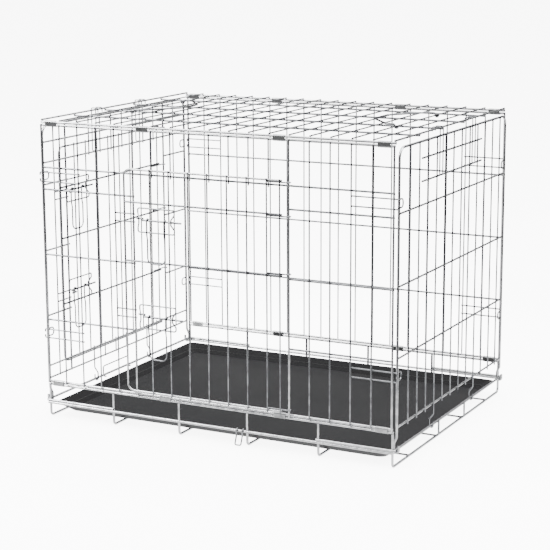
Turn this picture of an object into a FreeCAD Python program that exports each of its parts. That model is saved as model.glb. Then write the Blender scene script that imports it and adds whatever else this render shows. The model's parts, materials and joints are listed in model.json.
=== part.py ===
import FreeCAD, Part
import math
import os
import re
from FreeCAD import Placement, Rotation, Vector

# Folding wire dog crate. +X is the crate's length, -Y the side with the big door,
# +Z up; the origin is on the floor under the middle of the crate. Millimetres.
# Every panel is a layer of upright bars welded to the outside of a layer of rails.

os.makedirs("parts", exist_ok=True)
doc = FreeCAD.newDocument("dog_crate")
sheet = doc.addObject("Spreadsheet::Sheet", "Dims")

DIMENSIONS = [
    ("fine", 1.5, "radius of the upright bars"),
    ("medium", 2.0, "radius of the rails, jambs and bolts"),
    ("thick", 2.5, "radius of the frame wires"),
    ("bite", 0.05, "how deep a weld sinks one wire into another"),
    ("run", 0.06, "radial clearance where one wire turns on another"),
    ("side_pitch", 43.0, "spacing of the bars of the long panels and the roof"),
    ("side_bays", 18, "spaces between the bars of a long panel"),
    ("side_plane", 290.0, "distance of the long panels' frame wires from the middle"),
    ("end_pitch", 43.65, "spacing of the bars of the end panels"),
    ("end_bays", 13, "spaces between the bars of an end panel"),
    ("end_rail_out", 392.5, "distance of the base's end rails from the middle"),
    ("end_rail_up", 36.0, "height of the base's end rails"),
    ("end_frame_out", 392.65, "distance of the end panels' hoops from the middle"),
    ("end_frame_top", 608.0, "height of the top of the end panels' hoops"),
    ("end_foot_up", 80.0, "height of the lowest rail of an end panel"),
    ("base_pitch", 155.0, "spacing of the six wires across the base"),
    ("base_hinge_up", 70.0, "height of the rails the long panels turn on"),
    ("roof_hinge_up", 617.5, "height of the roof's front and rear wires"),
    ("hinge_gap", 6.0, "distance between the two wires that a clip holds together"),
    ("header_up", 525.0, "height of the rail above the front door"),
    ("clip_length", 25.0, "length of a sheet-metal hinge clip"),
    ("clip_sheet", 0.8, "thickness of the clips"),
    ("tray_length", 768.0, "length of the tray over its rim"),
    ("tray_depth", 573.0, "depth of the tray over its rim"),
    ("tray_height", 18.8, "height of the tray"),
    ("tray_floor_up", 9.3, "height of the underside of the tray"),
    ("tray_wall", 2.2, "thickness of the tray"),
    ("tray_lean", 24.0, "how far the tray's walls lean out from foot to rim"),
    ("tray_step", 5.0, "width of the step half-way up the tray's walls"),
    ("tray_corner", 30.0, "radius of the tray's corners"),
]
for row, (alias, value, meaning) in enumerate(DIMENSIONS, start=1):
    sheet.set(f"A{row}", alias)
    sheet.set(f"B{row}", str(value))
    sheet.setAlias(f"B{row}", alias)
    sheet.set(f"C{row}", meaning)
doc.recompute()


def dim(alias):
    """A driving dimension as a number."""
    return float(sheet.get(alias))


def formula(text):
    """An expression in the sheet's words, such as "side_plane - thick"."""
    return re.sub(r"[a-z_]+", lambda word: "Dims." + word.group(0), str(text))


FINE, MEDIUM, THICK = dim("fine"), dim("medium"), dim("thick")
BITE, RUN = dim("bite"), dim("run")
SIDE_PITCH, END_PITCH = dim("side_pitch"), dim("end_pitch")
SIDE_HALF = SIDE_PITCH * dim("side_bays") / 2
END_HALF = END_PITCH * dim("end_bays") / 2
SIDE_PLANE, END_RAIL, END_RAIL_UP = dim("side_plane"), dim("end_rail_out"), dim("end_rail_up")

# Layers, as expressions: how far out from the middle of the crate each layer of wires lies.
LAYERS = {
    "side": {
        "frame": "side_plane",
        "rails": "side_plane + thick - medium",
        "bars": "side_plane + thick + fine - bite",
        "jambs": "side_plane + thick + medium - bite",
        "keepers": "side_plane + thick - fine",
    },
    "end": {
        "frame": "end_frame_out",
        "rails": "end_frame_out + thick - medium",
        "bars": "end_frame_out + thick + fine - bite",
        "jambs": "end_frame_out + thick + medium - bite",
        "keepers": "end_frame_out + thick - fine",
    },
}

TURN = {
    "x": Rotation(Vector(0, 1, 0), 90),
    "y": Rotation(Vector(1, 0, 0), -90),
    "z": Rotation(),
}
nodes = []


def straight(name, radius, start, along, length):
    """A straight round wire. start, radius and length are in the sheet's words."""
    wire = doc.addObject("Part::Cylinder", name)
    wire.Placement = Placement(Vector(), TURN[along])
    wire.setExpression("Radius", formula(radius))
    wire.setExpression("Height", formula(length))
    for letter, place in zip("xyz", start):
        wire.setExpression(f"Placement.Base.{letter}", formula(place))
    return wire


def rounded_path(points, bends):
    """A line through the points with its corners rounded; bends has one radius a corner."""
    edges, last = [], points[0]
    for before, corner, after, bend in zip(points, points[1:], points[2:], bends):
        back = (before - corner).normalize()
        ahead = (after - corner).normalize()
        half = math.acos(max(-1.0, min(1.0, back.dot(ahead)))) / 2
        reach = bend / math.tan(half)
        start, end = corner + back * reach, corner + ahead * reach
        middle = (back + ahead).normalize()
        top = corner + middle * (bend / math.sin(half) - bend)
        if (start - last).Length > 1e-4:
            edges.append(Part.makeLine(last, start))
        edges.append(Part.Arc(start, top, end).toShape())
        last = end
    if (points[-1] - last).Length > 1e-4:
        edges.append(Part.makeLine(last, points[-1]))
    return Part.Wire(edges)


def bent(name, radius, points, bends):
    """A round wire swept along the points with rounded corners."""
    if not isinstance(bends, (list, tuple)):
        bends = [bends] * (len(points) - 2)
    path = doc.addObject("Part::Feature", name + "_path")
    path.Shape = rounded_path(points, bends)
    section = doc.addObject("Part::Circle", name + "_section")
    section.Placement = Placement(points[0], Rotation(Vector(0, 0, 1), points[1] - points[0]))
    section.setExpression("Radius", formula(radius))
    wire = doc.addObject("Part::Sweep", name)
    wire.Sections = [section]
    wire.Spine = (path, [f"Edge{n}" for n in range(1, len(path.Shape.Edges) + 1)])
    wire.Solid = True
    return wire


def node(label, pieces):
    """One named sub-part: a single piece, or a group of separate pieces."""
    if len(pieces) == 1:
        part = pieces[0]
    else:
        part = doc.addObject("Part::Compound", label + "_group")
        part.Links = pieces
    part.Label = label
    nodes.append(part)
    return part


# ------------------------------------------------------------------ the two kinds of side

def front(along, out, up):
    """A place on the front: along +X, out towards -Y."""
    return Vector(along, -out, up)


def left(along, out, up):
    """A place on the left end: along +Y, out towards -X."""
    return Vector(-out, along, up)


def right(along, out, up):
    """A place on the right end: along +Y, out towards +X."""
    return Vector(out, along, up)


SIDES = {
    "front": ("side", lambda along, out, up: (along, f"0 - ({out})", up), "x"),
    "rear": ("side", lambda along, out, up: (along, out, up), "x"),
    "left": ("end", lambda along, out, up: (f"0 - ({out})", along, up), "y"),
    "right": ("end", lambda along, out, up: (out, along, up), "y"),
}


def bar(side, name, layer, radius, along, low, high):
    """An upright wire of a panel, from height low to height high."""
    kind, place, _ = SIDES[side]
    start = place(along, LAYERS[kind][layer], low)
    return straight(name, radius, start, "z", f"({high}) - ({low})")


def rail(side, name, layer, radius, up, begin, end):
    """A level wire of a panel, from begin to end along it."""
    kind, place, along = SIDES[side]
    start = place(begin, LAYERS[kind][layer], up)
    return straight(name, radius, start, along, f"({end}) - ({begin})")


def side_bar(number):
    return f"side_pitch * ({number} - side_bays / 2)"


def end_bar(number):
    return f"end_pitch * ({number} - end_bays / 2)"


# ------------------------------------------------------------------ base

cross_wires, cross_at = [], [-2.5, -1.5, -0.5, 0.5, 1.5, 2.5]
stub_top = dim("base_hinge_up") - THICK + BITE
for number, place in enumerate(cross_at, start=1):
    x = place * dim("base_pitch")
    points = [
        Vector(x, -SIDE_PLANE, stub_top),
        Vector(x, -SIDE_PLANE, THICK),
        Vector(x, SIDE_PLANE, THICK),
        Vector(x, SIDE_PLANE, stub_top),
    ]
    cross_wires.append(bent(f"cross_wire_{number}", "thick", points, 8))
node("base_cross_wires", cross_wires)

LONG_UP = "thick + thick + medium - bite"
LONG_HALF = 392.0
long_wires = [
    straight(f"long_wire_{n}", "medium", (-LONG_HALF, y, LONG_UP), "x", 2 * LONG_HALF)
    for n, y in enumerate((-220, 202), start=1)
]
long_up = 2 * THICK + MEDIUM - BITE
riser_x = END_RAIL + THICK + MEDIUM - BITE
for number, y in enumerate((-80, 61), start=1):
    points = [
        Vector(-LONG_HALF, y, long_up),
        Vector(riser_x, y, long_up),
        Vector(riser_x, y, END_RAIL_UP + THICK),
    ]
    long_wires.append(bent(f"bent_long_wire_{number}", "medium", points, 6))
node("base_long_wires", long_wires)

RAIL_HALF = 390.0
node(
    "base_hinge_rails",
    [
        straight(name, "thick", (-RAIL_HALF, y, "base_hinge_up"), "x", 2 * RAIL_HALF)
        for name, y in (("front_hinge_rail", "0 - side_plane"), ("rear_hinge_rail", "side_plane"))
    ],
)
OUTER_RAIL = "side_plane + thick + thick - bite"
LOWER_RAIL_UP = "end_rail_up - thick - thick + bite"
node(
    "base_lower_rails",
    [
        straight(name, "thick", (-RAIL_HALF, y, LOWER_RAIL_UP), "x", 2 * RAIL_HALF)
        for name, y in (("front_lower_rail", f"0 - ({OUTER_RAIL})"), ("rear_lower_rail", OUTER_RAIL))
    ],
)
outer_rail = SIDE_PLANE + 2 * THICK - BITE
END_RAIL_LEG = 230.0
for name, sign in (("base_left_end_rail", -1), ("base_right_end_rail", 1)):
    points = [
        Vector(sign * END_RAIL_LEG, -outer_rail, END_RAIL_UP),
        Vector(sign * END_RAIL, -outer_rail, END_RAIL_UP),
        Vector(sign * END_RAIL, outer_rail, END_RAIL_UP),
        Vector(sign * END_RAIL_LEG, outer_rail, END_RAIL_UP),
    ]
    node(name, [bent(name + "_wire", "thick", points, 4)])

# ------------------------------------------------------------------ tray

def tray_block(name, foot, top, foot_smaller, top_smaller, corner):
    """A block with leaning sides and rounded corners, from height foot to top in the tray.

    The last lengths say how much smaller than the rim it is, all round, at its foot and top.
    """
    block = doc.addObject("Part::Wedge", name)
    block.Placement = Placement(Vector(), Rotation(Vector(1, 0, 0), 90))
    block.setExpression("Placement.Base.z", formula("tray_floor_up"))
    for key, smaller in (("", foot_smaller), ("2", top_smaller)):
        for axis, size in (("X", "tray_length"), ("Z", "tray_depth")):
            half = f"({size} / 2 - ({smaller}))"
            block.setExpression(f"{axis}{key}min", formula(f"0 - {half}"))
            block.setExpression(f"{axis}{key}max", formula(half))
    block.setExpression("Ymin", formula(foot))
    block.setExpression("Ymax", formula(top))
    doc.recompute()
    slanted = [
        number
        for number, edge in enumerate(block.Shape.Edges, start=1)
        if abs(edge.Vertexes[0].Z - edge.Vertexes[-1].Z) > 2
    ]
    rounded = doc.addObject("Part::Fillet", name + "_rounded")
    rounded.Base = block
    rounded.Edges = [(number, corner, corner) for number in slanted]
    return rounded


tray_corner = dim("tray_corner")
HALF_UP = "tray_height / 2"
outside = tray_block("tray_outside", "0", "tray_height", "tray_lean", "0", tray_corner)
upper_hollow = tray_block(
    "tray_upper_hollow",
    HALF_UP,
    "tray_height + 1",
    "tray_lean / 2 + tray_wall + 1.2",
    "tray_wall + 0.6",
    tray_corner - 3,
)
lower_hollow = tray_block(
    "tray_lower_hollow",
    "tray_wall",
    f"{HALF_UP} + 0.5",
    "tray_lean + tray_wall + 1",
    "tray_lean / 2 + tray_wall + tray_step",
    tray_corner - 10,
)
dished = doc.addObject("Part::Cut", "tray_dished")
dished.Base, dished.Tool = outside, upper_hollow
tray = doc.addObject("Part::Cut", "tray_cut")
tray.Base, tray.Tool = dished, lower_hollow
node("tray", [tray])

# ------------------------------------------------------------------ tray stop, carrying hook

STOP_LIFT, STOP_TOP = 31.6, 54.0
stop_out = END_RAIL + THICK + 0.35 + FINE
stop_in = END_RAIL - 3.0
stop_ends = (-75.0, 25.0)
node(
    "tray_stop_loop",
    [
        bent(
            "stop_loop",
            "fine",
            [
                left(stop_ends[0], stop_in, STOP_LIFT),
                left(stop_ends[0], stop_out, STOP_LIFT),
                left(stop_ends[0], stop_out, STOP_TOP),
                left(stop_ends[1], stop_out, STOP_TOP),
                left(stop_ends[1], stop_out, STOP_LIFT),
                left(stop_ends[1], stop_in, STOP_LIFT),
            ],
            [3, 5, 5, 3],
        )
    ],
)

lower_up = END_RAIL_UP - 2 * THICK + BITE
hook_ring = THICK + RUN + FINE
hook_side = [
    (outer_rail - hook_ring, lower_up - 1.0),
    (outer_rail - hook_ring, lower_up + hook_ring),
    (outer_rail + hook_ring, lower_up + hook_ring),
    (outer_rail + hook_ring, 22.0),
    (outer_rail + 11.0, 5.0),
]
hook_points = [front(58.0, out, up) for out, up in hook_side]
hook_points += [front(71.0, out, up) for out, up in reversed(hook_side)]
hook_bends = [hook_ring, hook_ring, 4, 3]
node(
    "carrying_hook",
    [bent("hook_wire", "fine", hook_points, hook_bends + hook_bends[::-1])],
)

# ------------------------------------------------------------------ hinge clips


def clip_section():
    """The clip's section round two wires one hinge gap apart, slit on the inner side."""
    gap, inner = dim("hinge_gap"), THICK + RUN

    def slot(radius):
        low, high = Vector(0, 0, 0), Vector(0, 0, gap)
        side, up = Vector(0, radius, 0), Vector(0, 0, radius)
        return Part.Face(
            Part.Wire(
                [
                    Part.makeLine(low + side, high + side),
                    Part.Arc(high + side, high + up, high - side).toShape(),
                    Part.makeLine(high - side, low - side),
                    Part.Arc(low - side, low - up, low + side).toShape(),
                ]
            )
        )

    slit = Part.Face(
        Part.makePolygon(
            [
                Vector(0, 1.5, gap / 2 - 0.7),
                Vector(0, inner + 2, gap / 2 - 0.7),
                Vector(0, inner + 2, gap / 2 + 0.7),
                Vector(0, 1.5, gap / 2 + 0.7),
                Vector(0, 1.5, gap / 2 - 0.7),
            ]
        )
    )
    return slot(inner + dim("clip_sheet")).cut(slot(inner)).cut(slit)


section = doc.addObject("Part::Feature", "clip_section")
section.Shape = clip_section()


def clips(side, sign, bottom_bays, top_bays):
    """The clips of one long panel, at the middles of the numbered bays."""
    made = []
    rows = (("low", "base_hinge_up", bottom_bays), ("top", "roof_hinge_up - hinge_gap", top_bays))
    for row, up, bays in rows:
        for number in bays:
            clip = doc.addObject("Part::Extrusion", f"{side}_clip_{row}_{number}")
            clip.Base = section
            clip.DirMode = "Custom"
            clip.Dir = Vector(1, 0, 0)
            clip.Solid = True
            clip.setExpression("LengthFwd", formula("clip_length"))
            middle = f"side_pitch * ({number} + 0.5 - side_bays / 2)"
            clip.setExpression("Placement.Base.x", formula(f"{middle} - clip_length / 2"))
            clip.setExpression("Placement.Base.y", formula(f"{sign} * side_plane"))
            clip.setExpression("Placement.Base.z", formula(up))
            made.append(clip)
    return node(f"{side}_hinge_clips", made)


# ------------------------------------------------------------------ long panels

FOOT_UP = "base_hinge_up + hinge_gap"
TOP_UP = "roof_hinge_up - hinge_gap"
BAR_FOOT, BAR_TOP = f"{FOOT_UP} - 2", f"{TOP_UP} + 1.5"
SIDE_LEVELS = (208, 345, 480)
LAST = int(dim("side_bays"))
DOOR_BARS = range(6, 13)
KEEPER_LEVELS = ((169, 1), (187, -1), (496, 1), (515, -1))


def corner_keepers(side):
    """Short wires at the four corners with turned tips; the rear ones stop at the posts.

    The rear panel folds in between the end panels, so its wires may not stick out past them.
    """
    made = []
    sign = -1 if side == "front" else 1
    tip_at = SIDE_HALF + (8.0 if side == "front" else 1.2)
    keep = sign * (SIDE_PLANE + THICK - FINE)
    for hand in (-1, 1):
        for up, tip in KEEPER_LEVELS:
            points = [
                Vector(hand * (SIDE_HALF - 2 * SIDE_PITCH - 2), keep, up),
                Vector(hand * tip_at, keep, up),
                Vector(hand * tip_at, keep, up + tip * 6),
            ]
            made.append(bent(f"{side}_keeper_{len(made) + 1}", "fine", points, 2.5))
    return node(f"{side}_corner_keepers", made)


for side in ("front", "rear"):
    node(
        f"{side}_panel_frame_wires",
        [
            rail(side, f"{side}_foot_wire", "frame", "thick", FOOT_UP, side_bar(0), side_bar(LAST)),
            rail(side, f"{side}_top_wire", "frame", "thick", TOP_UP, side_bar(0), side_bar(LAST)),
        ],
    )
    posts = [0, LAST] + ([5, 13] if side == "front" else [])
    node(
        f"{side}_panel_posts",
        [
            bar(side, f"{side}_post_{n}", "jambs", "medium", side_bar(n), BAR_FOOT, BAR_TOP)
            for n in posts
        ],
    )
    thin = [n for n in range(1, LAST) if n not in posts and not (side == "front" and n in DOOR_BARS)]
    node(
        f"{side}_panel_bars",
        [
            bar(side, f"{side}_bar_{n}", "bars", "fine", side_bar(n), BAR_FOOT, BAR_TOP)
            for n in thin
        ],
    )
    corner_keepers(side)

node(
    "front_panel_header_bars",
    [
        bar("front", f"header_bar_{n}", "bars", "fine", side_bar(n), "header_up - 5", BAR_TOP)
        for n in DOOR_BARS
    ],
)
LEFT_OF_DOOR = (side_bar(0), side_bar(5))
RIGHT_OF_DOOR = (side_bar(13), side_bar(LAST))
front_rails = [
    rail("front", f"front_rail_{up}_{n}", "rails", "medium", up, begin, end)
    for up in SIDE_LEVELS
    for n, (begin, end) in enumerate((LEFT_OF_DOOR, RIGHT_OF_DOOR))
]
front_rails.append(
    rail("front", "front_header", "rails", "medium", "header_up", side_bar(0), side_bar(LAST))
)
node("front_panel_rails", front_rails)
node(
    "rear_panel_rails",
    [
        rail("rear", f"rear_rail_{up}", "rails", "medium", up, side_bar(0), side_bar(LAST))
        for up in SIDE_LEVELS
    ],
)
clips("front", -1, (0, 6, 12, 17), (0, 5, 12, 17))
clips("rear", 1, (0, 5, 12, 17), (0, 5, 12, 17))

# ------------------------------------------------------------------ roof

ROOF_HALF = "side_pitch * side_bays / 2 + 2"
roof_frame = [
    straight(name, "thick", (f"0 - ({ROOF_HALF})", y, "roof_hinge_up"), "x", f"2 * ({ROOF_HALF})")
    for name, y in (("roof_front_wire", "0 - side_plane"), ("roof_rear_wire", "side_plane"))
]
CROSS_START = "0 - side_plane - 1.5"
CROSS_LENGTH = "2 * (side_plane + 1.5)"
node(
    "roof_cross_wires",
    [
        straight(
            f"roof_cross_{n}",
            "fine",
            (side_bar(n), CROSS_START, "roof_hinge_up + thick + fine - bite"),
            "y",
            CROSS_LENGTH,
        )
        for n in range(1, LAST)
    ],
)
roof_frame += [
    straight(
        f"roof_end_{n}",
        "medium",
        (side_bar(n), CROSS_START, "roof_hinge_up + thick + medium - bite"),
        "y",
        CROSS_LENGTH,
    )
    for n in (0, LAST)
]
node("roof_frame_wires", roof_frame)
node(
    "roof_long_wires",
    [
        straight(
            f"roof_long_{n}",
            "medium",
            (side_bar(0), y, "roof_hinge_up + thick - medium"),
            "x",
            "side_pitch * side_bays",
        )
        for n, y in enumerate((-174, -58, 58, 174), start=1)
    ],
)

handle_up = dim("roof_hinge_up") + THICK + FINE - BITE
handle_ring = FINE + RUN + MEDIUM
handle_flat = handle_up + FINE + 0.35 + MEDIUM
HANDLE_PIVOT = SIDE_PITCH * 7
for name, sign in (("roof_left_handle", -1), ("roof_right_handle", 1)):
    half = [
        (HANDLE_PIVOT + handle_ring, -85.0, handle_up + 1.0),
        (HANDLE_PIVOT + handle_ring, -85.0, handle_up - handle_ring),
        (HANDLE_PIVOT - handle_ring, -85.0, handle_up - handle_ring),
        (HANDLE_PIVOT - handle_ring, -85.0, handle_flat),
        (HANDLE_PIVOT - 22.0, -85.0, handle_flat),
        (HANDLE_PIVOT - 78.0, -14.0, handle_flat),
    ]
    other = [(x, 40.0 - y, z) for x, y, z in reversed(half)]
    points = [Vector(sign * x, y, z) for x, y, z in half + other]
    ring = [handle_ring, handle_ring, 3.5, 10, 10]
    node(name, [bent(name + "_wire", "medium", points, ring + ring[::-1])])

# ------------------------------------------------------------------ end panels

frame_out = dim("end_frame_out")
bars_out = frame_out + THICK + FINE - BITE


def eyelet(place, along, radius, start_out):
    """The foot of a wire that turns round the base's end rail, from above to its outer tip."""
    ring = THICK + RUN + radius
    points = [
        place(along, start_out, END_RAIL_UP + 24),
        place(along, END_RAIL - ring, END_RAIL_UP + 13),
        place(along, END_RAIL - ring, END_RAIL_UP - ring),
        place(along, END_RAIL + ring, END_RAIL_UP - ring),
        place(along, END_RAIL + ring, END_RAIL_UP + 8),
    ]
    return points, [6, 6, ring, ring]


def end_panel(side, place, has_door):
    """Everything welded into one end panel."""
    low, high = -END_HALF, END_HALF
    top = dim("end_frame_top")
    foot_a, bends_a = eyelet(place, low, THICK, frame_out)
    foot_b, bends_b = eyelet(place, high, THICK, frame_out)
    corners = [place(low, frame_out, top), place(high, frame_out, top)]
    hoop = foot_a[::-1] + corners + foot_b
    bends = bends_a[::-1] + [20, 20] + bends_b
    node(f"{side}_end_hoop", [bent(f"{side}_hoop", "thick", hoop, bends)])

    eye_top = 109.0 if has_door else top + 2
    eyes = []
    for number in (4, 9):
        along = END_PITCH * (number - dim("end_bays") / 2)
        foot, bends = eyelet(place, along, FINE, bars_out)
        points = [place(along, bars_out, eye_top)] + foot
        eyes.append(bent(f"{side}_eye_{number}", "fine", points, bends))
    node(f"{side}_end_eyelet_bars", eyes)

    jambs = (2, 11) if has_door else ()
    last = int(dim("end_bays"))
    inside = range(3, 11) if has_door else ()
    plain = [n for n in range(1, last) if n not in jambs and n not in inside]
    if not has_door:
        plain = [n for n in plain if n not in (4, 9)]
    foot_up, top_up = "end_foot_up - 4", "end_frame_top + 2"
    bars = [
        bar(side, f"{side}_bar_{n}", "bars", "fine", end_bar(n), foot_up, top_up)
        for n in plain
    ]
    bars += [
        bar(side, f"{side}_jamb_{n}", "jambs", "medium", end_bar(n), foot_up, top_up)
        for n in jambs
    ]
    node(f"{side}_end_bars", bars)
    ends = ("0 - end_pitch * end_bays / 2 + thick - bite", "end_pitch * end_bays / 2 - thick + bite")
    if has_door:
        short = [
            bar(side, f"{side}_header_bar_{n}", "bars", "fine", end_bar(n), 527, top_up)
            for n in inside
        ]
        short += [
            bar(side, f"{side}_sill_bar_{n}", "bars", "fine", end_bar(n), foot_up, 109)
            for n in inside
            if n not in (4, 9)
        ]
        node(f"{side}_end_short_bars", short)
        rails = [
            rail(side, f"{side}_rail_{up}", "rails", "medium", up, *ends)
            for up in (80, 106, 532, 574)
        ]
        for up in (213, 350, 487):
            rails.append(rail(side, f"{side}_rail_{up}_a", "rails", "medium", up, ends[0], end_bar(2)))
            rails.append(rail(side, f"{side}_rail_{up}_b", "rails", "medium", up, end_bar(11), ends[1]))
    else:
        rails = [
            rail(side, f"{side}_rail_{up}", "rails", "medium", up, *ends)
            for up in (80, 213, 350, 487)
        ]
        rails += [
            rail(side, f"{side}_rail_{up}", "rails", "medium", up, -175, 140)
            for up in (532, 576)
        ]
    node(f"{side}_end_rails", rails)

    loops = []
    for along, inward in ((low, 1), (high, -1)):
        for up in (178.0, 505.5):
            near, far = along + inward * (THICK - 0.02), along + inward * 19
            points = [
                place(near, frame_out, up + 8),
                place(far, frame_out, up + 8),
                place(far, frame_out, up - 8),
                place(near, frame_out, up - 8),
            ]
            loops.append(bent(f"{side}_loop_{len(loops) + 1}", "fine", points, 7))
    node(f"{side}_end_corner_loops", loops)

    hooks = []
    hook_out = frame_out + THICK + FINE - BITE - 0.3
    hook_roof_up = dim("roof_hinge_up") + THICK + 2 * MEDIUM - BITE
    top_of_hook = hook_roof_up + 0.4 + 1.2
    for number in (4, 8):
        middle = END_PITCH * (number + 0.5 - dim("end_bays") / 2)
        half = [
            (8.0, SIDE_HALF - 7.0, top_of_hook - 9),
            (8.0, SIDE_HALF - 7.0, top_of_hook),
            (8.0, hook_out, top_of_hook),
            (8.0, hook_out, 533.0),
        ]
        points = [place(middle + a, o, u) for a, o, u in half]
        points += [place(middle - a, o, u) for a, o, u in reversed(half)]
        hooks.append(bent(f"{side}_hook_{number}", "fine - 0.3", points, [3, 3, 5, 5, 3, 3]))
    node(f"{side}_end_spring_hooks", hooks)


end_panel("left", left, True)
end_panel("right", right, False)

# ------------------------------------------------------------------ doors and slide bolts

DOOR_STEP = 2.55


def door(name, place, jamb_out, free, hinge, levels, bar_places, bolts):
    """A door and its slide bolts. free and hinge are the door's two edges along the panel."""
    low, high = levels[0], levels[-1]
    rails_out = jamb_out + DOOR_STEP + MEDIUM
    bars_out = rails_out + MEDIUM + FINE - BITE
    inner_end = hinge - 12.0
    frame = [
        place(inner_end, rails_out, high),
        place(free, rails_out, high),
        place(free, rails_out, low),
        place(inner_end, rails_out, low),
    ]
    node(f"{name}_frame", [bent(f"{name}_hoop", "medium", frame, 14)])
    made = []
    for up in levels[1:-1]:
        points = [place(free + MEDIUM - BITE, rails_out, up), place(inner_end, rails_out, up)]
        made.append(bent(f"{name}_rail_{up}", "medium", points, []))
    node(f"{name}_rails", made)
    made = []
    for number, along in enumerate(bar_places + [inner_end - 3.0], start=1):
        points = [place(along, bars_out, low - 3), place(along, bars_out, high + 3)]
        made.append(bent(f"{name}_bar_{number}", "fine", points, []))
    node(f"{name}_bars", made)

    ring = MEDIUM + RUN + FINE
    knuckle_out = jamb_out + ring
    drop = math.sqrt((MEDIUM + FINE - BITE / 3) ** 2 - (rails_out - knuckle_out) ** 2)
    made = []
    for number, up in enumerate(levels):
        lower_half = number < len(levels) / 2
        side_up = up + drop if lower_half else up - drop
        points = [
            place(inner_end - 32.0, knuckle_out, side_up),
            place(hinge + ring, knuckle_out, side_up),
            place(hinge + ring, jamb_out - ring, side_up),
            place(hinge - ring, jamb_out - ring, side_up),
            place(hinge - ring, jamb_out + 0.5, side_up),
        ]
        made.append(bent(f"{name}_knuckle_{number + 1}", "fine", points, ring))
    node(f"{name}_knuckles", made)

    rod_out = bars_out + FINE + 0.4 + MEDIUM
    brackets = []
    bracket_out = bars_out + 2 * FINE - BITE
    arch_out = rod_out + MEDIUM + 0.35 + FINE
    begin, end = free + 35.0, free + 118.0
    for number, up in enumerate(bolts, start=1):
        points = [
            (end - 8, bracket_out, up + 24),
            (begin, bracket_out, up + 24),
            (begin, bracket_out, up + 15),
            (begin + 5, arch_out, up + 5),
            (begin + 5, arch_out, up - 5),
            (begin, bracket_out, up - 15),
            (begin, bracket_out, up - 24),
            (end, bracket_out, up - 24),
            (end, bracket_out, up - 15),
            (end - 5, arch_out, up - 5),
            (end - 5, arch_out, up + 5),
            (end, bracket_out, up + 15),
            (end, bracket_out, up + 24),
            (end - 6, bracket_out, up + 24),
        ]
        bends = [4, 3, 2.5, 2.5, 3, 4, 4, 3, 2.5, 2.5, 3, 3]
        points = [place(*point) for point in points]
        brackets.append(bent(f"{name}_bracket_{number}", "fine", points, bends))
    node(f"{name}_bolt_brackets", brackets)

    tip_out = jamb_out - 2 * MEDIUM - 0.5
    grip_ring = MEDIUM + RUN + FINE
    for which, up in zip(("lower", "upper"), bolts):
        rod = [
            place(free + 134.0, rod_out, up),
            place(free + 44.0, rod_out, up),
            place(free + 37.0, tip_out, up),
            place(free + 23.0, tip_out, up),
        ]
        node(f"{name}_{which}_bolt", [bent(f"{name}_{which}_rod", "medium", rod, 3)])
        leg = [
            (rod_out - grip_ring, up - 1.0),
            (rod_out - grip_ring, up + grip_ring),
            (rod_out + grip_ring, up + grip_ring),
            (rod_out + grip_ring, up - 27.0),
            (rod_out + 1.6, up - 38.0),
            (rod_out + 1.6, up - 86.0),
        ]
        grip = [place(free + 57.5, out, height) for out, height in leg]
        grip += [place(free + 97.0, out, height) for out, height in reversed(leg)]
        bends = [grip_ring, grip_ring, 8, 8, 12]
        node(
            f"{name}_{which}_bolt_grip",
            [bent(f"{name}_{which}_grip", "fine", grip, bends + bends[::-1])],
        )


front_jamb_out = SIDE_PLANE + THICK + MEDIUM - BITE
door(
    "front_door",
    front,
    front_jamb_out,
    -190.0,
    SIDE_PITCH * 4,
    [84.0, 352.0, 470.0, 535.0],
    [SIDE_PITCH * (n - 9) for n in DOOR_BARS],
    (242.0, 437.0),
)
left_jamb_out = frame_out + THICK + MEDIUM - BITE
door(
    "left_door",
    left,
    left_jamb_out,
    -214.0,
    END_PITCH * 4.5,
    [98.0, 222.0, 362.0, 470.0, 555.0],
    [END_PITCH * (n - 6.5) for n in range(3, 11)],
    (243.0, 458.5),
)

KEEPERS = (
    ("front", side_bar(4), side_bar(5), (234, 250, 429, 445)),
    ("left", end_bar(1), end_bar(2), (235, 251, 450.5, 466.5)),
)
for side, begin, end, levels in KEEPERS:
    node(
        f"{side}_bolt_keepers",
        [
            rail(side, f"{side}_keeper_{up}", "keepers", "fine", up, f"{begin} - 3", f"{end} + 1")
            for up in levels
        ],
    )

# ------------------------------------------------------------------ check and write

doc.recompute()
for item in doc.Objects:
    bad = [state for state in item.State if state in ("Invalid", "Error")]
    if bad:
        raise RuntimeError(f"{item.Name} is {bad}")
for part in nodes:
    shape = part.Shape
    if shape.isNull() or not shape.isValid() or not shape.Solids:
        raise RuntimeError(f"{part.Label} has no valid solid")
    shape.exportStep(f"parts/{part.Label}.step")
print(len(nodes), "nodes written")
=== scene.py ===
import json
import math
import random

import bmesh
import bpy
from mathutils import Matrix, Vector


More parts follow.
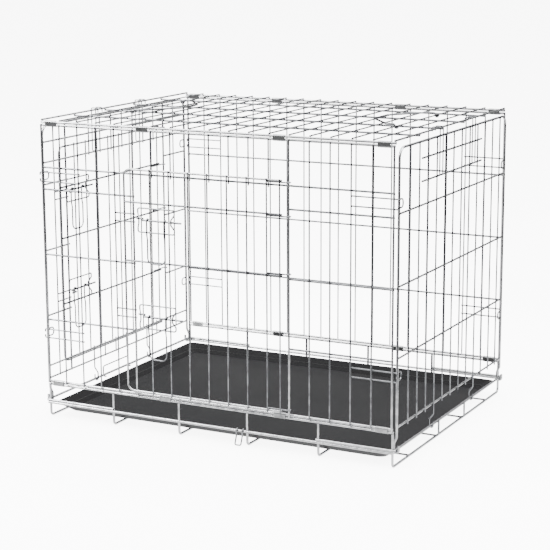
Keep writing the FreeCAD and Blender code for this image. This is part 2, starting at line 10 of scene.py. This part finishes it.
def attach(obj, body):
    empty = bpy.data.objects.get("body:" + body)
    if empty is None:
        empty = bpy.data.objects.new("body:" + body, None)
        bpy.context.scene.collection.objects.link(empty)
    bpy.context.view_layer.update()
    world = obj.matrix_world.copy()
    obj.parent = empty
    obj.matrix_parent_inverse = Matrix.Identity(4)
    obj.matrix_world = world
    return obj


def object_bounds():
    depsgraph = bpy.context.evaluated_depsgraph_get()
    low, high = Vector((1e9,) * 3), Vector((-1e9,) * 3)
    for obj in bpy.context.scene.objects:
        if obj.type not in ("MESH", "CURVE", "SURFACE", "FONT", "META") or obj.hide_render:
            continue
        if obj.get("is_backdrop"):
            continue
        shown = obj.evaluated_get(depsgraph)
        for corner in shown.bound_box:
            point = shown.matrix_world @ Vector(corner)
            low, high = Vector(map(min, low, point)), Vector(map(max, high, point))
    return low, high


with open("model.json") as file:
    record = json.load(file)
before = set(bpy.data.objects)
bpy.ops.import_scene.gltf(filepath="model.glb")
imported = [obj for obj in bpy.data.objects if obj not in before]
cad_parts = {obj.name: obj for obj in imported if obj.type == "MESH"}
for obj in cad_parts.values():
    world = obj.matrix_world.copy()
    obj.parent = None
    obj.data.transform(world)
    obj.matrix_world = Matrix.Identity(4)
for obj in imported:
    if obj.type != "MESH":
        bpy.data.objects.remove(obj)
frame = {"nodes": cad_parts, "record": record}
cad_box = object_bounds()
random.seed(11)

# ------------------------------------------------------------------ helpers for materials


class Nodes:
    """A few short ways to build a material's node tree."""

    def __init__(self, name):
        self.material = bpy.data.materials.new(name)
        self.material.use_nodes = True
        self.tree = self.material.node_tree
        self.tree.nodes.clear()
        self.shader = self.add("ShaderNodeBsdfPrincipled")
        output = self.add("ShaderNodeOutputMaterial")
        self.link(self.shader.outputs[0], output.inputs["Surface"])

    def add(self, kind, **settings):
        made = self.tree.nodes.new(kind)
        for key, value in settings.items():
            setattr(made, key, value)
        return made

    def link(self, start, end):
        self.tree.links.new(start, end)

    def position(self, scale=(1, 1, 1)):
        coords = self.add("ShaderNodeTexCoord")
        mapping = self.add("ShaderNodeMapping")
        mapping.inputs["Scale"].default_value = scale
        self.link(coords.outputs["Object"], mapping.inputs["Vector"])
        return mapping.outputs["Vector"]

    def noise(self, vector, scale, detail=3.0, roughness=0.5):
        noise = self.add("ShaderNodeTexNoise")
        noise.inputs["Scale"].default_value = scale
        noise.inputs["Detail"].default_value = detail
        noise.inputs["Roughness"].default_value = roughness
        self.link(vector, noise.inputs["Vector"])
        return noise.outputs["Fac"]

    def ramp(self, value, *stops):
        ramp = self.add("ShaderNodeValToRGB")
        elements = ramp.color_ramp.elements
        while len(elements) < len(stops):
            elements.new(0.5)
        for element, (place, colour) in zip(elements, stops):
            element.position = place
            element.color = (*colour, 1) if isinstance(colour, tuple) else (colour,) * 3 + (1,)
        self.link(value, ramp.inputs["Fac"])
        return ramp.outputs["Color"]

    def bump(self, height, strength, distance):
        bump = self.add("ShaderNodeBump")
        bump.inputs["Strength"].default_value = strength
        bump.inputs["Distance"].default_value = distance
        self.link(height, bump.inputs["Height"])
        return bump.outputs["Normal"]

    def set(self, **values):
        """Plain values for the shader's sockets, with _ for each space in a socket's name."""
        for name, value in values.items():
            self.shader.inputs[name.replace("_", " ")].default_value = value


def zinc_wire(name, bright, dull, rough_low, rough_high):
    """Bright zinc-plated wire: soft patches of sheen, fine drawing marks, a few dull specks."""
    made = Nodes(name)
    place = made.position()
    patches = made.noise(place, 60, 4)
    specks = made.noise(place, 900, 2)
    colour = made.add("ShaderNodeMix", data_type="RGBA", blend_type="MULTIPLY")
    colour.inputs["Factor"].default_value = 1.0
    made.link(made.ramp(patches, (0.32, dull), (0.62, bright)), colour.inputs["A"])
    made.link(made.ramp(specks, (0.30, 0.80), (0.42, 1.0)), colour.inputs["B"])
    made.link(colour.outputs["Result"], made.shader.inputs["Base Color"])
    rough = made.ramp(patches, (0.3, rough_high), (0.7, rough_low))
    made.link(rough, made.shader.inputs["Roughness"])
    made.set(Metallic=1.0)
    made.link(made.bump(specks, 0.25, 0.0002), made.shader.inputs["Normal"])
    return made.material


def tray_plastic():
    """Black moulded plastic: fine grain, a soft sheen and faintly uneven black."""
    made = Nodes("tray_plastic_black")
    place = made.position()
    grain = made.noise(place, 1400, 3, 0.6)
    cloud = made.noise(place, 7, 3)
    base = made.ramp(cloud, (0.3, (0.0025, 0.0025, 0.003)), (0.7, (0.0045, 0.0045, 0.005)))
    made.link(base, made.shader.inputs["Base Color"])
    made.set(Roughness=0.5, Specular_IOR_Level=0.07)
    made.link(made.bump(grain, 0.2, 0.0002), made.shader.inputs["Normal"])
    return made.material


# Colours of the bright and dull patches, then the lowest and highest roughness.
# WIRE and THICK_WIRE are the one zinc in two greys: the fine wires' much darker grey is painted
# shade, for how the thin wires read under these lamps.
WIRE = zinc_wire("wire_zinc_painted_shade", (0.23, 0.235, 0.245), (0.12, 0.123, 0.13), 0.12, 0.24)
THICK_WIRE = zinc_wire("wire_frame_zinc", (0.55, 0.555, 0.565), (0.34, 0.344, 0.352), 0.14, 0.28)
SHEET = zinc_wire("clip_sheet_zinc", (0.34, 0.345, 0.35), (0.18, 0.183, 0.188), 0.24, 0.40)
WELD = zinc_wire("weld_zinc", (0.34, 0.34, 0.345), (0.20, 0.20, 0.203), 0.28, 0.46)
TRAY = tray_plastic()
THICK_NODES = ("hoop", "frame", "hinge_rails", "lower_rails", "end_rail", "cross_wires", "posts")


def material_for(name):
    if name == "tray":
        return TRAY
    if name.endswith("clips"):
        return SHEET
    if any(word in name for word in THICK_NODES) and "roof_cross" not in name:
        return THICK_WIRE
    return WIRE


for name, node in frame["nodes"].items():
    node.data.materials.clear()
    node.data.materials.append(material_for(name))

EDGE_ROUNDING = 0.0009
SHARP_EDGE = math.radians(18)
bevel = frame["nodes"]["tray"].modifiers.new("soft_edges", "BEVEL")
bevel.width, bevel.segments, bevel.limit_method = EDGE_ROUNDING, 3, "ANGLE"
bevel.angle_limit = SHARP_EDGE

# ------------------------------------------------------------------ weld nuggets


def islands(mesh):
    """The lowest and highest corner of each separate wire in a mesh."""
    parent = list(range(len(mesh.vertices)))
    spots = {}
    for vertex in mesh.vertices:
        key = tuple(round(c, 6) for c in vertex.co)
        parent[vertex.index] = spots.setdefault(key, vertex.index)

    def root(n):
        while parent[n] != n:
            parent[n] = parent[parent[n]]
            n = parent[n]
        return n

    for edge in mesh.edges:
        a, b = (root(n) for n in edge.vertices)
        parent[a] = b
    boxes = {}
    for vertex in mesh.vertices:
        low, high = boxes.setdefault(root(vertex.index), ([9.0] * 3, [-9.0] * 3))
        for i, c in enumerate(vertex.co):
            low[i] = min(low[i], c)
            high[i] = max(high[i], c)
    return boxes.values()


THICKEST_WIRE = 0.006  # metres across; a wider box is not one straight wire
ROUND_WITHIN = 0.0004
WELD_GAP, WELD_SINK = 0.0002, 0.0012
PAST_END = 0.001


def straight_wires(body):
    """(axis, middle line, start, end, radius) of each straight wire of a body."""
    found = []
    for name, node in frame["nodes"].items():
        if name not in frame["record"]["behaviour"]["bodies"][body]:
            continue
        for low, high in islands(node.data):
            size = [h - l for l, h in zip(low, high)]
            axis = size.index(max(size))
            across = [size[i] for i in range(3) if i != axis]
            if max(across) < THICKEST_WIRE and abs(across[0] - across[1]) < ROUND_WITHIN:
                middle = [(l + h) / 2 for l, h in zip(low, high)]
                found.append((axis, middle, low[axis], high[axis], sum(across) / 4))
    return found


def crossings(wires):
    """(place, normal axis, radius) wherever two straight wires of a body are welded."""
    for n, (axis_a, at_a, low_a, high_a, r_a) in enumerate(wires):
        for axis_b, at_b, low_b, high_b, r_b in wires[n + 1:]:
            if axis_a == axis_b:
                continue
            normal = 3 - axis_a - axis_b
            gap = abs(at_a[normal] - at_b[normal]) - r_a - r_b
            if gap > WELD_GAP or gap < -WELD_SINK:
                continue
            if not (low_a - PAST_END <= at_b[axis_a] <= high_a + PAST_END):
                continue
            if not (low_b - PAST_END <= at_a[axis_b] <= high_b + PAST_END):
                continue
            place = [0, 0, 0]
            place[axis_a], place[axis_b] = at_b[axis_a], at_a[axis_b]
            toward = 1 if at_b[normal] > at_a[normal] else -1
            place[normal] = at_a[normal] + toward * r_a
            yield Vector(place), normal, min(r_a, r_b)


def weld_nuggets(body):
    """One mesh of small flattened beads, a bead in the crotch of each weld."""
    welds = list(crossings(straight_wires(body)))
    if not welds:
        return
    made = bmesh.new()
    for place, normal, radius in welds:
        reach = radius * random.uniform(1.02, 1.2)
        scale = [reach, reach, reach]
        scale[normal] = radius * random.uniform(0.42, 0.6)
        shape = Matrix.Translation(place) @ Matrix.Diagonal((*scale, 1))
        bmesh.ops.create_icosphere(made, subdivisions=2, radius=1.0, matrix=shape)
    mesh = bpy.data.meshes.new(f"{body}_welds")
    made.to_mesh(mesh)
    made.free()
    mesh.shade_smooth()
    mesh.materials.append(WELD)
    piece = bpy.data.objects.new(f"{body}_welds", mesh)
    bpy.context.collection.objects.link(piece)
    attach(piece, body)


WELDED_BODIES = (
    "base",
    "front_panel",
    "rear_panel",
    "roof",
    "left_end",
    "right_end",
    "front_door",
    "left_door",
)
for body in WELDED_BODIES:
    weld_nuggets(body)

# ------------------------------------------------------------------ floor, light, camera


def studio_floor():
    """A glowing white floor that the wires and the tray do not mirror."""
    bpy.ops.mesh.primitive_plane_add(size=60, location=(0, 0, 0))
    floor = bpy.context.object
    floor.name = "floor"
    made = Nodes("floor_pale_gloss")
    place = made.position()
    cloud = made.noise(place, 0.8, 2)
    made.link(made.ramp(cloud, (0.3, 0.93), (0.7, 0.95)), made.shader.inputs["Base Color"])
    made.set(Roughness=0.16, Specular_IOR_Level=0.5)
    made.set(Emission_Color=(1, 1, 1, 1), Emission_Strength=7.0)
    floor.data.materials.append(made.material)
    floor.visible_glossy = False
    floor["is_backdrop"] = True


def floor_glow():
    """What the wires mirror of the floor close by: bright at the crate, gone a stride away."""
    just_up = (0, 0, 0.0004)
    bpy.ops.mesh.primitive_circle_add(vertices=64, radius=1.4, fill_type="NGON", location=just_up)
    glow = bpy.context.object
    glow.name = "floor_glow"
    made = Nodes("floor_near_glow")
    reach = made.add("ShaderNodeVectorMath", operation="LENGTH")
    made.link(made.position((0.5, 0.5, 0)), reach.inputs[0])
    fade = made.ramp(reach.outputs["Value"], (0.36, 1.0), (0.60, 0.0))
    made.link(fade, made.shader.inputs["Emission Color"])
    made.set(Emission_Strength=2.6, Base_Color=(0, 0, 0, 1), Specular_IOR_Level=0.0)
    glow.data.materials.append(made.material)
    glow.visible_camera = False
    glow.visible_diffuse = False
    glow.visible_shadow = False
    glow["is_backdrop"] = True


def softbox(name, place, target, size, power):
    """A rectangular lamp at place that faces target."""
    light = bpy.data.lights.new(name, "AREA")
    light.shape = "RECTANGLE"
    light.size, light.size_y = size
    light.energy = power
    lamp = bpy.data.objects.new(name, light)
    lamp.location = place
    lamp.rotation_euler = (Vector(target) - Vector(place)).to_track_quat("-Z", "Y").to_euler()
    bpy.context.collection.objects.link(lamp)


# Grey levels of the sky: SKY from straight down to straight up, and PATCH by the cosine of the
# angle from PATCH_SIDE.
SKY = ((0.0, 0.9), (0.28, 0.45), (0.41, 0.10), (0.5, 0.03), (0.6, 0.08), (0.74, 0.6), (1.0, 1.1))
PATCH = ((0.88, 0.0), (0.95, 1.0), (1.0, 1.4))
PATCH_SIDE = (-0.93, -0.36, -0.05)
WORLD_STRENGTH = 2.2


def studio_world():
    """A soft sky, dim round the horizon, with one bright patch to the left."""
    world = bpy.data.worlds.new("studio")
    bpy.context.scene.world = world
    world.use_nodes = True
    tree = world.node_tree

    def ramp(value, stops):
        made = tree.nodes.new("ShaderNodeValToRGB")
        for _ in range(len(stops) - 2):
            made.color_ramp.elements.new(0.5)
        for element, (place, grey) in zip(made.color_ramp.elements, stops):
            element.position, element.color = place, (grey, grey, grey, 1)
        tree.links.new(value, made.inputs["Fac"])
        return made.outputs["Color"]

    coords = tree.nodes.new("ShaderNodeTexCoord").outputs["Generated"]
    split = tree.nodes.new("ShaderNodeSeparateXYZ")
    tree.links.new(coords, split.inputs[0])
    up = tree.nodes.new("ShaderNodeMath")
    up.operation = "MULTIPLY_ADD"
    up.inputs[1].default_value, up.inputs[2].default_value = 0.5, 0.5
    tree.links.new(split.outputs["Z"], up.inputs[0])
    side = tree.nodes.new("ShaderNodeVectorMath")
    side.operation = "DOT_PRODUCT"
    side.inputs[1].default_value = PATCH_SIDE
    tree.links.new(coords, side.inputs[0])
    both = tree.nodes.new("ShaderNodeMix")
    both.data_type, both.blend_type = "RGBA", "ADD"
    both.inputs["Factor"].default_value = 1.0
    tree.links.new(ramp(up.outputs[0], SKY), both.inputs["A"])
    tree.links.new(ramp(side.outputs["Value"], PATCH), both.inputs["B"])
    tree.links.new(both.outputs["Result"], tree.nodes["Background"].inputs["Color"])
    tree.nodes["Background"].inputs["Strength"].default_value = WORLD_STRENGTH


studio_floor()
floor_glow()
studio_world()
softbox("key", (-3.0, -2.4, 3.4), (0, 0, 0.3), (1.6, 1.6), 300)
softbox("top", (0.0, 6.0, 20.0), (0, 6.0, 0), (44.0, 44.0), 26000)
softbox("rim", (3.2, 1.6, 2.6), (0, 0, 0.3), (1.0, 1.6), 160)

CAMERA_PLACE = Vector((1.575, -3.072, 1.017))
AZIMUTH, ELEVATION, ROLL = (math.radians(a) for a in (27.28, 12.02, -0.25))
camera = bpy.data.cameras.new("camera")
camera.lens, camera.sensor_width = 109.7, 36.0
camera.clip_end = 200
viewer = bpy.data.objects.new("camera", camera)
forward = Vector(
    (
        -math.sin(AZIMUTH) * math.cos(ELEVATION),
        math.cos(AZIMUTH) * math.cos(ELEVATION),
        -math.sin(ELEVATION),
    )
)
turn = forward.to_track_quat("-Z", "Y").to_matrix().to_4x4()
viewer.matrix_world = Matrix.Translation(CAMERA_PLACE) @ turn @ Matrix.Rotation(ROLL, 4, "Z")
bpy.context.collection.objects.link(viewer)
bpy.context.scene.camera = viewer

boxes = {"cad": cad_box, "visual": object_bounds()}
{key: [list(map(float, corner)) for corner in box] for key, box in boxes.items()}
